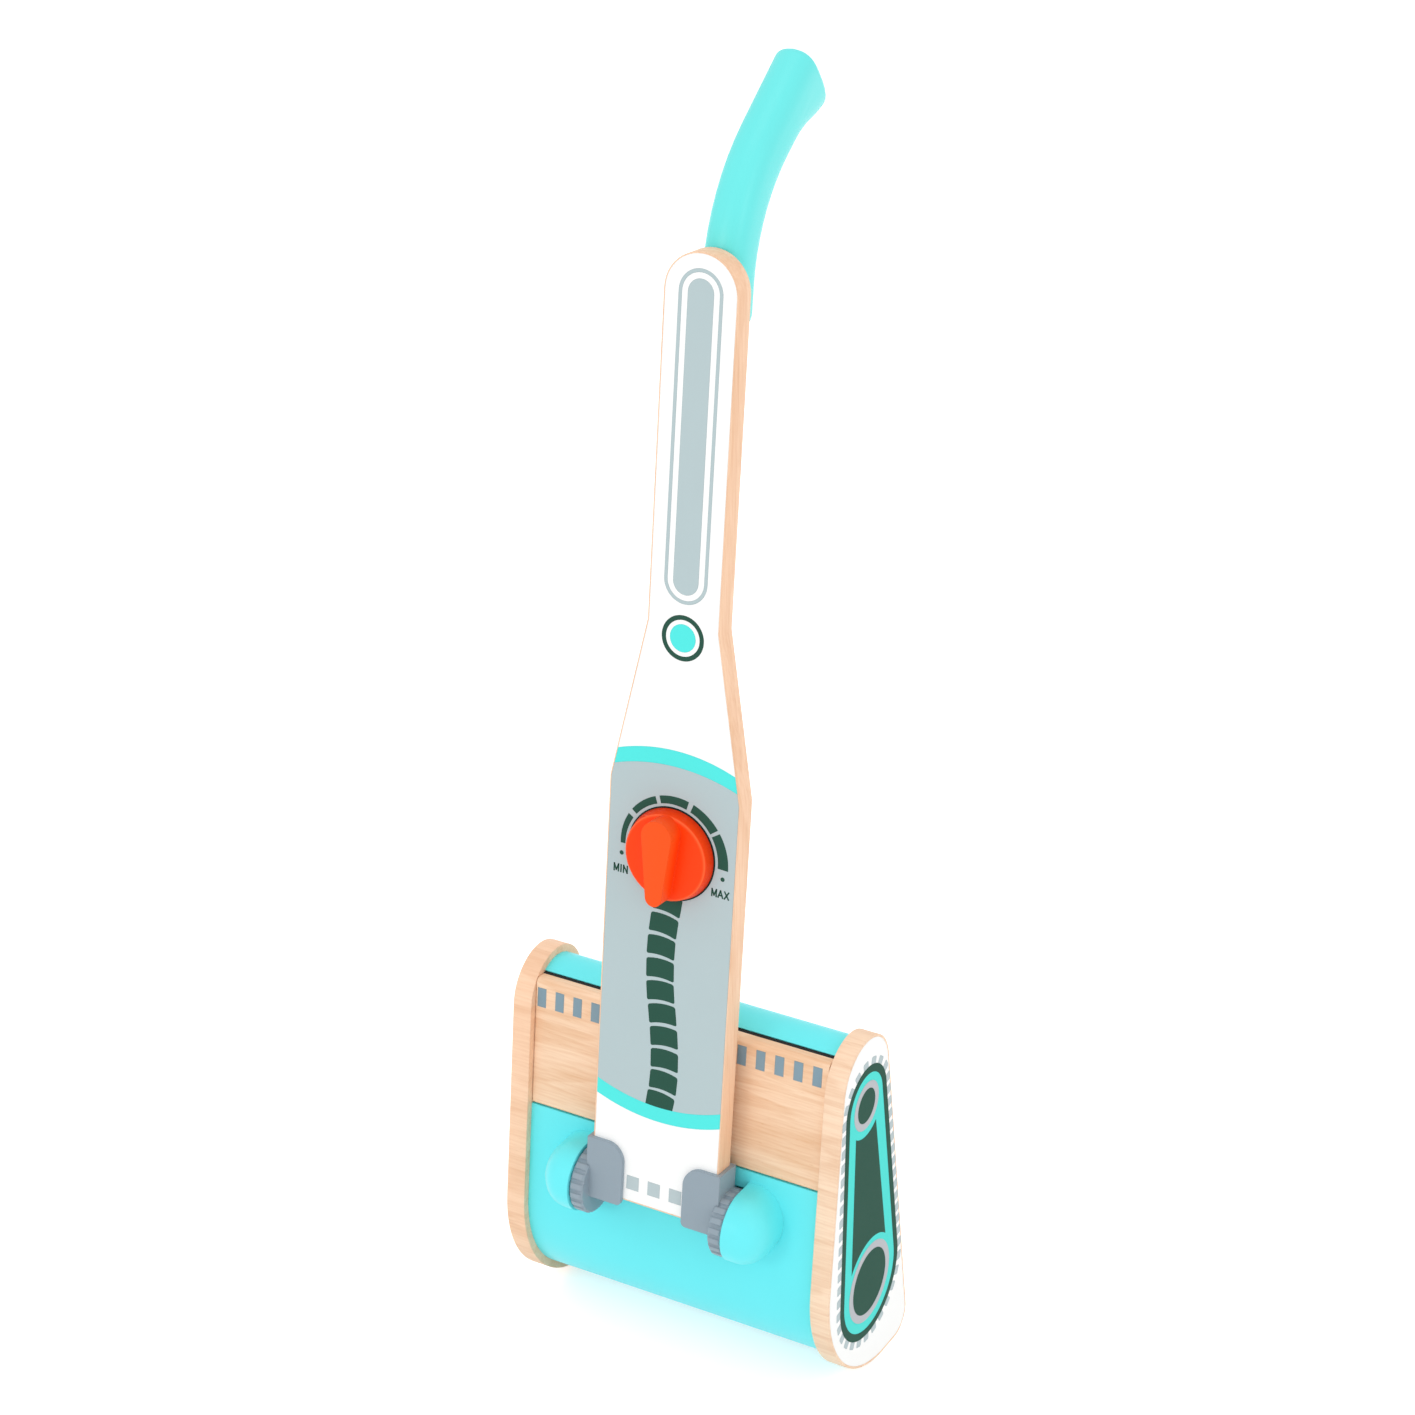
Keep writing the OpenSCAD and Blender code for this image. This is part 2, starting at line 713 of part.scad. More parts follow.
module click_spring() {
    low = -click_bore_depth;
    top = click_rise - 2 * click_r;
    color(steel) in_dial() translate([0, -click_ring_r, low]) difference() {
        cylinder(r = click_r, h = top - low);
        translate([0, 0, -over]) cylinder(r = click_r - spring_wall, h = top - low + over + over);
    }
}
module click_ball() {
    color(steel) in_dial() translate([0, -click_ring_r, click_rise - click_r]) sphere(r = click_r);
}

// Teardrop outline of the dial's pointer, broad end up
module pointer_outline() {
    wide_c = [0, pointer_reach - pointer_wide_r];
    tip_c = [0, pointer_tip_r - pointer_reach];
    swing = acos((pointer_wide_r - pointer_tip_r) / norm(wide_c - tip_c));
    side = along(swing - 90);
    flip = [-side.x, side.y];
    translate(wide_c) circle(r = pointer_wide_r);
    translate(tip_c) circle(r = pointer_tip_r);
    wide = pointer_wide_r - rim_tuck;
    tip = pointer_tip_r - rim_tuck;
    polygon([wide_c + wide * side, wide_c + wide * flip, tip_c + tip * flip, tip_c + tip * side]);
}
module dial_profile() {
    polygon([
        [0, dial_gap], [dial_r, dial_gap], [dial_face_r, dial_h - dial_rim_r],
        [dial_face_r - dial_rim_r, dial_h - dial_rim_r], [dial_face_r - dial_rim_r, dial_h], [0, dial_h]
    ]);
    translate([dial_face_r - dial_rim_r, dial_h - dial_rim_r]) circle(r = dial_rim_r);
}
module dial_knob() {
    stem_low = -stick_t - turn_gap;
    color(orange_red) in_dial() difference() {
        union() {
            rotate_extrude() dial_profile();
            translate([0, 0, dial_gap]) linear_extrude(height = pointer_h - dial_gap) pointer_outline();
            translate([0, 0, stem_low]) cylinder(r = stem_r, h = dial_h - stem_low);
        }
        rotate_extrude() translate([click_ring_r - click_track_half, 0])
            square([2 * click_track_half, dial_gap + click_track_depth]);
        translate([0, 0, stem_low - over]) cylinder(r = screw_r, h = dial_screw_bite + over);
    }
}
module dial_washer() {
    color(steel) in_dial() translate([0, 0, -stick_t - turn_gap - dial_washer_t]) difference() {
        cylinder(r = dial_washer_r, h = dial_washer_t);
        translate([0, 0, -over]) cylinder(r = screw_r, h = dial_washer_t + over + over);
    }
}
module dial_screw() {
    color(steel) in_dial() translate([0, 0, -stick_t - turn_gap - dial_washer_t]) {
        cylinder(r = screw_r, h = dial_washer_t + dial_screw_bite);
        translate([0, 0, -screw_head_h]) cylinder(r = screw_head_r, h = screw_head_h);
    }
}

left_end_plate();
right_end_plate();
front_panel();
upper_shell();
lower_shell();
sole_plate();
slot_seal();
tie_dowel(top_c);  // tie_dowel_top
tie_dowel(dowel_front_c);  // tie_dowel_front
tie_dowel(dowel_back_c);  // tie_dowel_back
corner_blocks();
sole_screws();
mirror([1, 0, 0]) hinge_pin();  // hinge_pin_left
hinge_pin();  // hinge_pin_right
mirror([1, 0, 0]) friction_washer();  // friction_washer_left
friction_washer();  // friction_washer_right
axle(front_wheel_c);  // front_axle
wheel(front_wheel_c, front_wheel_r, -1);  // front_wheel_left
wheel(front_wheel_c, front_wheel_r, 1);  // front_wheel_right
tyre(front_wheel_c, front_wheel_r, -1);  // front_tyre_left
tyre(front_wheel_c, front_wheel_r, 1);  // front_tyre_right
axle(rear_wheel_c);  // rear_axle
wheel(rear_wheel_c, rear_wheel_r, -1);  // rear_wheel_left
wheel(rear_wheel_c, rear_wheel_r, 1);  // rear_wheel_right
tyre(rear_wheel_c, rear_wheel_r, -1);  // rear_tyre_left
tyre(rear_wheel_c, rear_wheel_r, 1);  // rear_tyre_right
stick_board();
bracket_left();
bracket_right();
bracket_screws();
grip();
grip_screws();
click_spring();
click_ball();
dial_knob();
dial_washer();
dial_screw();
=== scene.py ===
"""Looks of the toy vacuum cleaner: wood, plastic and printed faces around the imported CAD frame."""
import json
import math

import bmesh
import bpy
from mathutils import Matrix, Vector


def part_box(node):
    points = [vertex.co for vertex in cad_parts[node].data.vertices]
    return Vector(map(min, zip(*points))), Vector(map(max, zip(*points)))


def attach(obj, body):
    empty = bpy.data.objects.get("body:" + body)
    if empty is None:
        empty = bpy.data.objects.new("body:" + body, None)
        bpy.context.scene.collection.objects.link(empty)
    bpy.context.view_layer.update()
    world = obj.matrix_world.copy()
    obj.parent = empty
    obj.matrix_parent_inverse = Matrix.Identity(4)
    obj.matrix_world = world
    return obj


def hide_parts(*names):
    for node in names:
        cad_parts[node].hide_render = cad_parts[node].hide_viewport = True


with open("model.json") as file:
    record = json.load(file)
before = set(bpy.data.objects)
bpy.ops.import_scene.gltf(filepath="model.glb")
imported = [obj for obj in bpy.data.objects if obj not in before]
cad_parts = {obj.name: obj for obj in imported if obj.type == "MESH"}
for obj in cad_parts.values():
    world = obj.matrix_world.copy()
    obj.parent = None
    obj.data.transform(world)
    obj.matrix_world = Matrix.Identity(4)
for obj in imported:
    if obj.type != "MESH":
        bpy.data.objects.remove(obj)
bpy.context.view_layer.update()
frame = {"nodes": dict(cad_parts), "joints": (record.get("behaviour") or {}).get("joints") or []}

NODES = frame["nodes"]
MM = 0.001

# Main sizes of the CAD part, in millimetres. The hinge's place comes from its joint;
# its axis lies HINGE_D behind the stick's front and HINGE_W above the stick's foot
HINGE = next(j["pos_m"] for j in frame["joints"] if j["name"] == "stick_hinge")
HINGE_Z = HINGE[2] / MM
MIDDLE_Y = -HINGE[1] / MM
HINGE_D = 7.1
HINGE_W = 1.3
LEAN = math.radians(6.13)

# Head: three arcs round the end plates, and the shells and the panel set back from that rim
HEAD_W = 166.0
TOP_C = (34.6 - MIDDLE_Y, 157.5)
TOP_R = 21.9
NOSE_C = (59.9 - MIDDLE_Y, 57.5)
NOSE_R = 57.5
HEEL_C = (70.1 - MIDDLE_Y, 11.0)
HEEL_R = 11.0
SETBACK = 3.6
PANEL_LOW = 111.6
PANEL_T = 8.0

# Pods: each starts at POD_X and ends within POD_L of it; the pin's hole has its own room
POD_X = 38.7
POD_L = 23.0
PIN_ROOM = 9.0
PIN_DEEP = 16.0

# Stick and dial: a place on the stick is measured across from its middle and up from its foot
STICK_W = 62.8
STICK_TOP_W = 34.0
STICK_H = 430.6
TAPER_LOW = 199.7
TAPER_TOP = 273.0
DIAL_W = 170.9
DIAL_H = 6.1
POINTER_H = 14.4

# The end faces lie a little inside the head's width, so that their prints stay within it
FACE_SINK = 0.16
# A print starts just under its face; the layers on the stick rise by equal steps
UNDER = -0.05
LAYER = 0.03


def linear(r, g, b):
    """A colour written as 0..255, as the linear values that Blender's sockets take."""
    def one(c):
        c = c / 255
        return c / 12.92 if c <= 0.04045 else ((c + 0.055) / 1.055) ** 2.4
    return (one(r), one(g), one(b), 1.0)


# Places on the stick's front face and on the head's two end faces, each with a rise from its face
def on_stick(u, w, rise):
    y = (-rise - HINGE_D) * math.cos(LEAN) + (w - HINGE_W) * math.sin(LEAN) - MIDDLE_Y
    z = (rise + HINGE_D) * math.sin(LEAN) + (w - HINGE_W) * math.cos(LEAN) + HINGE_Z
    return Vector((u, y, z)) * MM


def on_right(y, z, rise):
    return Vector((HEAD_W / 2 - FACE_SINK + rise, y, z)) * MM


def on_left(y, z, rise):
    return Vector((FACE_SINK - HEAD_W / 2 - rise, y, z)) * MM


FACING = (on_stick(0, 0, 1) - on_stick(0, 0, 0)) / MM

# Shader groups; a Mix node's colour sockets share their names with its other sockets, so they go by number
SURFACE = {"Color": "Color", "Roughness": "Float", "Height": "Float"}
MIX_FACTOR = 0
MIX_A = 6
MIX_B = 7
MIX_RESULT = 2


def new_group(name, inputs, outputs):
    """A shader group with its sockets, given as names and kinds, and its input and output nodes."""
    group = bpy.data.node_groups.new(name, "ShaderNodeTree")
    for in_out, sockets in (("INPUT", inputs), ("OUTPUT", outputs)):
        for socket, kind in sockets.items():
            group.interface.new_socket(name=socket, in_out=in_out, socket_type="NodeSocket" + kind)
    return group, group.nodes.new("NodeGroupInput"), group.nodes.new("NodeGroupOutput")


def feed(tree, socket, value):
    """Links a socket to another node's output, or sets its plain value."""
    if hasattr(value, "is_linked"):
        tree.links.new(value, socket)
    else:
        socket.default_value = value


def noise_node(tree, vector, scale, detail, rough=0.55):
    node = tree.nodes.new("ShaderNodeTexNoise")
    node.inputs["Scale"].default_value = scale
    node.inputs["Detail"].default_value = detail
    node.inputs["Roughness"].default_value = rough
    tree.links.new(vector, node.inputs["Vector"])
    return node.outputs["Fac"]


def ramp_node(tree, value, low, high):
    """0 at the low value and 1 at the high one, with a smooth rise between."""
    node = tree.nodes.new("ShaderNodeMapRange")
    node.interpolation_type = "SMOOTHSTEP"
    node.inputs["From Min"].default_value = low
    node.inputs["From Max"].default_value = high
    tree.links.new(value, node.inputs["Value"])
    return node.outputs["Result"]


def mix_node(tree, fac, a, b):
    node = tree.nodes.new("ShaderNodeMix")
    node.data_type = "RGBA"
    feed(tree, node.inputs[MIX_FACTOR], fac)
    feed(tree, node.inputs[MIX_A], a)
    feed(tree, node.inputs[MIX_B], b)
    return node.outputs[MIX_RESULT]


def math_node(tree, operation, a, b=0.0):
    node = tree.nodes.new("ShaderNodeMath")
    node.operation = operation
    feed(tree, node.inputs[0], a)
    feed(tree, node.inputs[1], b)
    return node.outputs[0]


def make_grain():
    """Pale wood, long in the vector's X direction: broad clouds, growth lines, fibres and short pores."""
    cloud_share = 0.2
    ring_share = 0.24
    fibre_share = 0.32
    pore_share = 0.34
    ring_count = 9.0
    ring_edge = 0.93
    smoothest = 0.46
    rough_share = 0.12
    group, start, end = new_group(
        "pale_grain", {"Vector": "Vector", "Light": "Color", "Dark": "Color", "Strength": "Float"}, SURFACE)

    def figure(along, scale, detail, rough=0.55):
        """Noise that is drawn out along the grain."""
        mapping = group.nodes.new("ShaderNodeMapping")
        mapping.inputs["Scale"].default_value = (along, 1.0, 1.0)
        group.links.new(start.outputs["Vector"], mapping.inputs["Vector"])
        return noise_node(group, mapping.outputs["Vector"], scale, detail, rough)

    cloud = ramp_node(group, figure(along=0.3, scale=48.0, detail=2.0), low=0.36, high=0.72)
    field = figure(along=0.1, scale=34.0, detail=2.0, rough=0.4)
    turn = math_node(group, "FRACT", math_node(group, "MULTIPLY", field, ring_count))
    rise = ramp_node(group, turn, low=0.35, high=ring_edge)
    drop = math_node(group, "SUBTRACT", 1.0, ramp_node(group, turn, low=ring_edge, high=1.0))
    rings = math_node(group, "MULTIPLY", rise, drop)
    fibres = ramp_node(group, figure(along=0.07, scale=900.0, detail=3.0), low=0.3, high=0.75)
    pores = ramp_node(group, figure(along=0.16, scale=1500.0, detail=2.0), low=0.66, high=0.8)
    broad = math_node(group, "ADD", math_node(group, "MULTIPLY", cloud, cloud_share),
                      math_node(group, "MULTIPLY", rings, ring_share))
    fine = math_node(group, "ADD", math_node(group, "MULTIPLY", fibres, fibre_share),
                     math_node(group, "MULTIPLY", pores, pore_share))
    amount = math_node(group, "MULTIPLY", math_node(group, "ADD", broad, fine), start.outputs["Strength"])
    rough = math_node(group, "ADD", math_node(group, "MULTIPLY", fibres, rough_share), smoothest)
    feed(group, end.inputs["Color"], mix_node(group, amount, start.outputs["Light"], start.outputs["Dark"]))
    feed(group, end.inputs["Roughness"], rough)
    feed(group, end.inputs["Height"], math_node(group, "SUBTRACT", 1.0, fine))
    return group


def make_skin():
    """A moulded or printed surface: a colour that varies a little, with a fine skin."""
    rough_share = 0.12
    group, start, end = new_group(
        "fine_skin", {"Vector": "Vector", "Color": "Color", "Shade": "Float", "Roughness": "Float"}, SURFACE)
    cloud = noise_node(group, start.outputs["Vector"], scale=38.0, detail=3.0)
    skin = noise_node(group, start.outputs["Vector"], scale=900.0, detail=2.0, rough=0.5)
    swing = math_node(group, "MULTIPLY", math_node(group, "SUBTRACT", cloud, 0.5), start.outputs["Shade"])
    tone = group.nodes.new("ShaderNodeHueSaturation")
    feed(group, tone.inputs["Color"], start.outputs["Color"])
    feed(group, tone.inputs["Value"], math_node(group, "ADD", swing, 1.0))
    rough = math_node(group, "MULTIPLY", math_node(group, "SUBTRACT", skin, 0.5), rough_share)
    feed(group, end.inputs["Color"], tone.outputs["Color"])
    feed(group, end.inputs["Roughness"], math_node(group, "ADD", rough, start.outputs["Roughness"]))
    feed(group, end.inputs["Height"], skin)
    return group


GRAIN = make_grain()
SKIN = make_skin()
RELIEF_DEEP = 0.2
EDGE_ROUND = 0.4


def new_material(name, group, settings, gloss, bump, metal=0.0, turn=(0.0, 0.0, 0.0)):
    """A material with its own Principled shader, fed by a shader group that reads Object coordinates."""
    material = bpy.data.materials.new(name)
    material.use_nodes = True
    tree = material.node_tree
    tree.nodes.clear()
    output = tree.nodes.new("ShaderNodeOutputMaterial")
    surface = tree.nodes.new("ShaderNodeBsdfPrincipled")
    surface.inputs["Specular IOR Level"].default_value = gloss
    surface.inputs["Metallic"].default_value = metal
    place = tree.nodes.new("ShaderNodeTexCoord")
    mapping = tree.nodes.new("ShaderNodeMapping")
    mapping.inputs["Rotation"].default_value = turn
    effect = tree.nodes.new("ShaderNodeGroup")
    effect.node_tree = group
    for socket, value in settings.items():
        effect.inputs[socket].default_value = value
    relief = tree.nodes.new("ShaderNodeBump")
    relief.inputs["Strength"].default_value = bump
    relief.inputs["Distance"].default_value = RELIEF_DEEP * MM
    edge = tree.nodes.new("ShaderNodeBevel")
    edge.samples = 4
    edge.inputs["Radius"].default_value = EDGE_ROUND * MM
    tree.links.new(place.outputs["Object"], mapping.inputs["Vector"])
    tree.links.new(mapping.outputs["Vector"], effect.inputs["Vector"])
    tree.links.new(effect.outputs["Color"], surface.inputs["Base Color"])
    tree.links.new(effect.outputs["Roughness"], surface.inputs["Roughness"])
    tree.links.new(effect.outputs["Height"], relief.inputs["Height"])
    tree.links.new(edge.outputs["Normal"], relief.inputs["Normal"])
    tree.links.new(relief.outputs["Normal"], surface.inputs["Normal"])
    tree.links.new(surface.outputs["BSDF"], output.inputs["Surface"])
    return material


def wood(name, light, dark, strength, turn=(0.0, 0.0, 0.0)):
    settings = {"Light": linear(*light), "Dark": linear(*dark), "Strength": strength}
    return new_material(name, GRAIN, settings, gloss=0.25, bump=0.1, turn=turn)


def moulded(name, colour, rough, gloss=0.5, shade=0.04, bump=0.05, metal=0.0):
    settings = {"Color": linear(*colour), "Roughness": rough, "Shade": shade}
    return new_material(name, SKIN, settings, gloss, bump, metal)


def ink(name, colour, gloss=0.08, rough=0.5, shade=0.03):
    return moulded(name, colour, rough, gloss, shade)


UPRIGHT = (0.0, math.radians(90), 0.0)
BOARD_WOOD = wood("wood_upright", (255, 216, 184), (224, 168, 124), 0.8, UPRIGHT)
PANEL_WOOD = wood("wood_across", (255, 222, 191), (224, 170, 122), 1.0)
LEFT_WOOD = wood("left_plate_wood", (255, 216, 184), (224, 168, 124), 0.8)
# A lighter copy of the plate wood for the right plate: painted light on its rim
LIT_RIGHT_WOOD = wood("lit_right_plate_wood", (255, 225, 196), (222, 172, 132), 0.9)
SHELL_BLUE = moulded("sky_blue_plastic", (109, 239, 246), 0.36, gloss=0.2)
GRIP_BLUE = moulded("grip_blue_plastic", (107, 233, 231), 0.36, gloss=0.4)
BRACKET_GREY = moulded("grey_plastic", (146, 161, 172), 0.45, gloss=0.35, shade=0.06, bump=0.12)
DIAL_ORANGE = moulded("orange_plastic", (255, 68, 4), 0.42, gloss=0.15)
RUBBER = moulded("tyre_rubber", (42, 42, 44), 0.7, shade=0.2, bump=0.3)
SEAL = moulded("black_seal", (16, 17, 18), 0.8, shade=0.2, bump=0.2)
STEEL = moulded("steel", (190, 192, 196), 0.3, shade=0.08, bump=0.08, metal=1.0)
WHITE_PAINT = ink("white_paint", (253, 253, 252), gloss=0.3, rough=0.45, shade=0.012)
FIELD_INK = ink("grey_ink", (184, 201, 204))
AQUA_INK = ink("aqua_ink", (88, 235, 229))
# A darker copy of the aqua ink for the end faces: painted shade
SHADED_AQUA_INK = ink("shaded_plate_aqua_ink", (87, 228, 219), gloss=0.03)
GREEN_INK = ink("green_ink", (50, 88, 75), gloss=0.02, shade=0.08)
# Near-black ink for the ring round the dial's foot: a painted contact shadow under the knob
SHADOW_INK = ink("painted_shadow_ink", (22, 40, 36), gloss=0.15, rough=0.6, shade=0.08)
PALE_INK = ink("pale_grey_ink", (188, 202, 205))
RING_INK = ink("ring_grey_ink", (190, 192, 197))
SLATE_INK = ink("slate_ink", (134, 160, 174), shade=0.08)


def paint_dial_light():
    """Painted light on the dial's orange: lighter up its pointer ridge, a painted highlight along its edges,
    painted shade at its foot.
    """
    foot_shade_share = 0.8
    edge_highlight_share = 0.8
    tree = DIAL_ORANGE.node_tree
    effect = next(n for n in tree.nodes if n.type == "GROUP")
    place = tree.nodes.new("ShaderNodeTexCoord")
    height = tree.nodes.new("ShaderNodeVectorMath")
    height.operation = "DOT_PRODUCT"
    height.inputs[1].default_value = FACING
    tree.links.new(place.outputs["Object"], height.inputs[0])
    foot = on_stick(0, DIAL_W, 0).dot(FACING)
    # Painted light: the orange grows lighter with height up the pointer ridge
    ridge = ramp_node(tree, height.outputs["Value"], foot + DIAL_H * MM, foot + POINTER_H * MM)
    # Painted shade: the orange grows darker towards the dial's foot
    foot_shade = ramp_node(tree, height.outputs["Value"], foot, foot + foot_shade_share * DIAL_H * MM)
    low = mix_node(tree, foot_shade, linear(222, 50, 4), linear(255, 68, 5))
    plain = mix_node(tree, ridge, low, linear(255, 86, 22))
    # Painted highlight: lighter orange along the dial's edges, where the edge attribute is high
    edge = tree.nodes.new("ShaderNodeAttribute")
    edge.attribute_name = "edge"
    amount = math_node(tree, "MULTIPLY", edge.outputs["Fac"], edge_highlight_share)
    feed(tree, effect.inputs["Color"], mix_node(tree, amount, plain, linear(255, 112, 62)))


paint_dial_light()
LOOK = {}
for names, material in (
        ("left_end_plate", LEFT_WOOD),
        ("right_end_plate", LIT_RIGHT_WOOD),
        ("stick_board sole_plate", BOARD_WOOD),
        ("front_panel tie_dowel_top tie_dowel_front tie_dowel_back corner_blocks front_wheel_left "
         "front_wheel_right rear_wheel_left rear_wheel_right", PANEL_WOOD),
        ("upper_shell lower_shell", SHELL_BLUE),
        ("grip", GRIP_BLUE),
        ("bracket_left bracket_right", BRACKET_GREY),
        ("dial_knob", DIAL_ORANGE),
        ("front_tyre_left front_tyre_right rear_tyre_left rear_tyre_right", RUBBER),
        ("slot_seal", SEAL),
        ("sole_screws hinge_pin_left hinge_pin_right friction_washer_left friction_washer_right front_axle "
         "rear_axle bracket_screws grip_screws click_spring click_ball dial_washer dial_screw", STEEL)):
    for name in names.split():
        LOOK[name] = material
for name, node in NODES.items():
    node.data.materials.clear()
    node.data.materials.append(LOOK[name])


# Outlines, as lists of points
def arc(cx, cy, r, a0, a1, steps):
    """An arc between two angles, in degrees."""
    angles = [math.radians(a0 + (a1 - a0) * i / steps) for i in range(steps + 1)]
    return [(cx + r * math.cos(a), cy + r * math.sin(a)) for a in angles]


def circle(cx, cy, r, steps=64):
    return arc(cx, cy, r, 0, 360 - 360 / steps, steps - 1)


def pill(low, high, r, steps=24):
    """An upright bar with round ends, in the stick's middle."""
    return arc(0.0, high - r, r, 0, 180, steps) + arc(0.0, low + r, r, 180, 360, steps)


def oblong(half_x, half_y):
    return [(-half_x, -half_y), (half_x, -half_y), (half_x, half_y), (-half_x, half_y)]


def rim_angle(upper, upper_r, lower, lower_r, side):
    """Where the straight rim that touches two circles faces, in degrees: side 1 is the front, -1 the back."""
    dy = upper[0] - lower[0]
    dz = upper[1] - lower[1]
    swing = math.acos((lower_r - upper_r) / math.hypot(dy, dz))
    return math.degrees(math.atan2(dz, dy) + side * swing)


def belt_line(upper, upper_r, lower, lower_r, steps=40):
    """Outline round two circles, with the straight lines that touch both."""
    back = rim_angle(upper, upper_r, lower, lower_r, -1)
    front = rim_angle(upper, upper_r, lower, lower_r, 1)
    return arc(*upper, upper_r, back, front, steps) + arc(*lower, lower_r, front, back + 360, steps)


# Mesh helpers
def add_object(name, data):
    thing = bpy.data.objects.new(name, data)
    bpy.context.scene.collection.objects.link(thing)
    return thing


def new_piece(name, verts, faces, material, body):
    """A piece of closed shells that rides on a body."""
    mesh = bpy.data.meshes.new(name)
    mesh.from_pydata([tuple(v) for v in verts], [], faces)
    work = bmesh.new()
    work.from_mesh(mesh)
    bmesh.ops.recalc_face_normals(work, faces=work.faces)
    work.to_mesh(mesh)
    work.free()
    mesh.materials.append(material)
    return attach(add_object(name, mesh), body)


def side_faces(near, far, n):
    """Faces between two closed lines of n points each, given by their first points."""
    return [[near + i, near + (i + 1) % n, far + (i + 1) % n, far + i] for i in range(n)]


def filled(name, outlines, place, rise, material, body):
    """Thin print: each outline is one closed layer, from just under its face to its rise."""
    verts, faces = [], []
    for outline in outlines:
        n, base = len(outline), len(verts)
        verts += [place(*p, rise) for p in outline] + [place(*p, UNDER) for p in outline]
        faces += [list(range(base, base + n)), list(range(base + n, base + 2 * n))]
        faces += side_faces(base, base + n, n)
    return new_piece(name, verts, faces, material, body)


def ringed(name, pairs, place, rise, material, body):
    """Thin print between an outer and an inner closed outline of the same number of points."""
    verts, faces = [], []
    for outer, inner in pairs:
        n, base = len(outer), len(verts)
        for line, height in ((outer, rise), (inner, rise), (inner, UNDER), (outer, UNDER)):
            verts += [place(*p, height) for p in line]
        for k in range(4):
            faces += side_faces(base + k * n, base + (k + 1) % 4 * n, n)
    return new_piece(name, verts, faces, material, body)


def slab(outline, thick):
    """Points and faces of a closed plate: the outline's points are 3-D, thick leads to its other side."""
    n = len(outline)
    verts = [Vector(p) * MM for p in outline] + [(Vector(p) + Vector(thick)) * MM for p in outline]
    work = bmesh.new()
    made = [work.verts.new(v) for v in verts]
    for loop in [list(range(n)), list(range(n, 2 * n))] + side_faces(0, n, n):
        work.faces.new([made[i] for i in loop])
    bmesh.ops.recalc_face_normals(work, faces=work.faces)
    work.verts.index_update()
    faces = [[v.index for v in face.verts] for face in work.faces]
    work.free()
    return verts, faces


# Geometry nodes: one shape set on every point of a mesh, turned by the points' own angles
def make_repeater():
    group = bpy.data.node_groups.new("repeat_on_points", "GeometryNodeTree")
    group.interface.new_socket(name="Points", in_out="INPUT", socket_type="NodeSocketGeometry")
    group.interface.new_socket(name="Shape", in_out="INPUT", socket_type="NodeSocketObject")
    group.interface.new_socket(name="Finish", in_out="INPUT", socket_type="NodeSocketMaterial")
    group.interface.new_socket(name="Pieces", in_out="OUTPUT", socket_type="NodeSocketGeometry")
    start = group.nodes.new("NodeGroupInput")
    end = group.nodes.new("NodeGroupOutput")
    shape = group.nodes.new("GeometryNodeObjectInfo")
    turn = group.nodes.new("GeometryNodeInputNamedAttribute")
    turn.data_type = "FLOAT_VECTOR"
    turn.inputs["Name"].default_value = "turn"
    angle = group.nodes.new("FunctionNodeEulerToRotation")
    spread = group.nodes.new("GeometryNodeInstanceOnPoints")
    real = group.nodes.new("GeometryNodeRealizeInstances")
    paint = group.nodes.new("GeometryNodeSetMaterial")
    link = group.links.new
    link(start.outputs["Points"], spread.inputs["Points"])
    link(start.outputs["Shape"], shape.inputs["Object"])
    link(shape.outputs["Geometry"], spread.inputs["Instance"])
    link(turn.outputs["Attribute"], angle.inputs["Euler"])
    link(angle.outputs["Rotation"], spread.inputs["Rotation"])
    link(spread.outputs["Instances"], real.inputs["Geometry"])
    link(real.outputs["Geometry"], paint.inputs["Geometry"])
    link(start.outputs["Finish"], paint.inputs["Material"])
    link(paint.outputs["Geometry"], end.inputs["Pieces"])
    return group


REPEATER = make_repeater()


def repeated(name, shape_verts, shape_faces, places, material, body):
    """One shape at each of the places: (point, Euler angles) pairs, in metres and radians."""
    shape_mesh = bpy.data.meshes.new(name + "_shape")
    shape_mesh.from_pydata([tuple(v) for v in shape_verts], [], shape_faces)
    shape = add_object(name + "_shape", shape_mesh)
    points = bpy.data.meshes.new(name + "_points")
    points.from_pydata([tuple(p) for p, _ in places], [], [])
    turns = points.attributes.new("turn", "FLOAT_VECTOR", "POINT")
    for item, (_, angles) in zip(turns.data, places):
        item.vector = angles
    holder = add_object(name + "_holder", points)
    modifier = holder.modifiers.new("repeat", "NODES")
    modifier.node_group = REPEATER
    sockets = {s.name: s.identifier for s in REPEATER.interface.items_tree if s.in_out == "INPUT"}
    modifier[sockets["Shape"]] = shape
    modifier[sockets["Finish"]] = material
    bpy.context.view_layer.update()
    mesh = bpy.data.meshes.new_from_object(holder.evaluated_get(bpy.context.evaluated_depsgraph_get()))
    mesh.name = name
    bpy.data.objects.remove(holder)
    bpy.data.objects.remove(shape)
    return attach(add_object(name, mesh), body)


# Softened copies of CAD nodes: angles in degrees, lengths in millimetres
MERGE = 0.001
FLAT_ANGLE = 0.5
SHARP_ANGLE = 35
SMOOTH_ANGLE = 32
SHELL_SMOOTH_ANGLE = 20
PLATE_ROUND = 1.4
BOARD_ROUND = 0.5
BRACKET_ROUND = 0.45
DIAL_ROUND = 1.1
# Where the dial's painted edge highlight falls, by the surface's turn from the stick's front
HIGHLIGHT_COSINE = 0.7
HIGHLIGHT_SPREAD = 0.3
LAP_SHARE = 0.061
POD_SHARE = 0.82


def edge_highlight_mask(normal):
    """Mask for the dial's painted edge highlight: 1 where a surface turns about 45 degrees away from the
    stick's front, 0 well away from that.
    """
    return max(0.0, 1.0 - abs(normal.dot(FACING) - HIGHLIGHT_COSINE) / HIGHLIGHT_SPREAD)


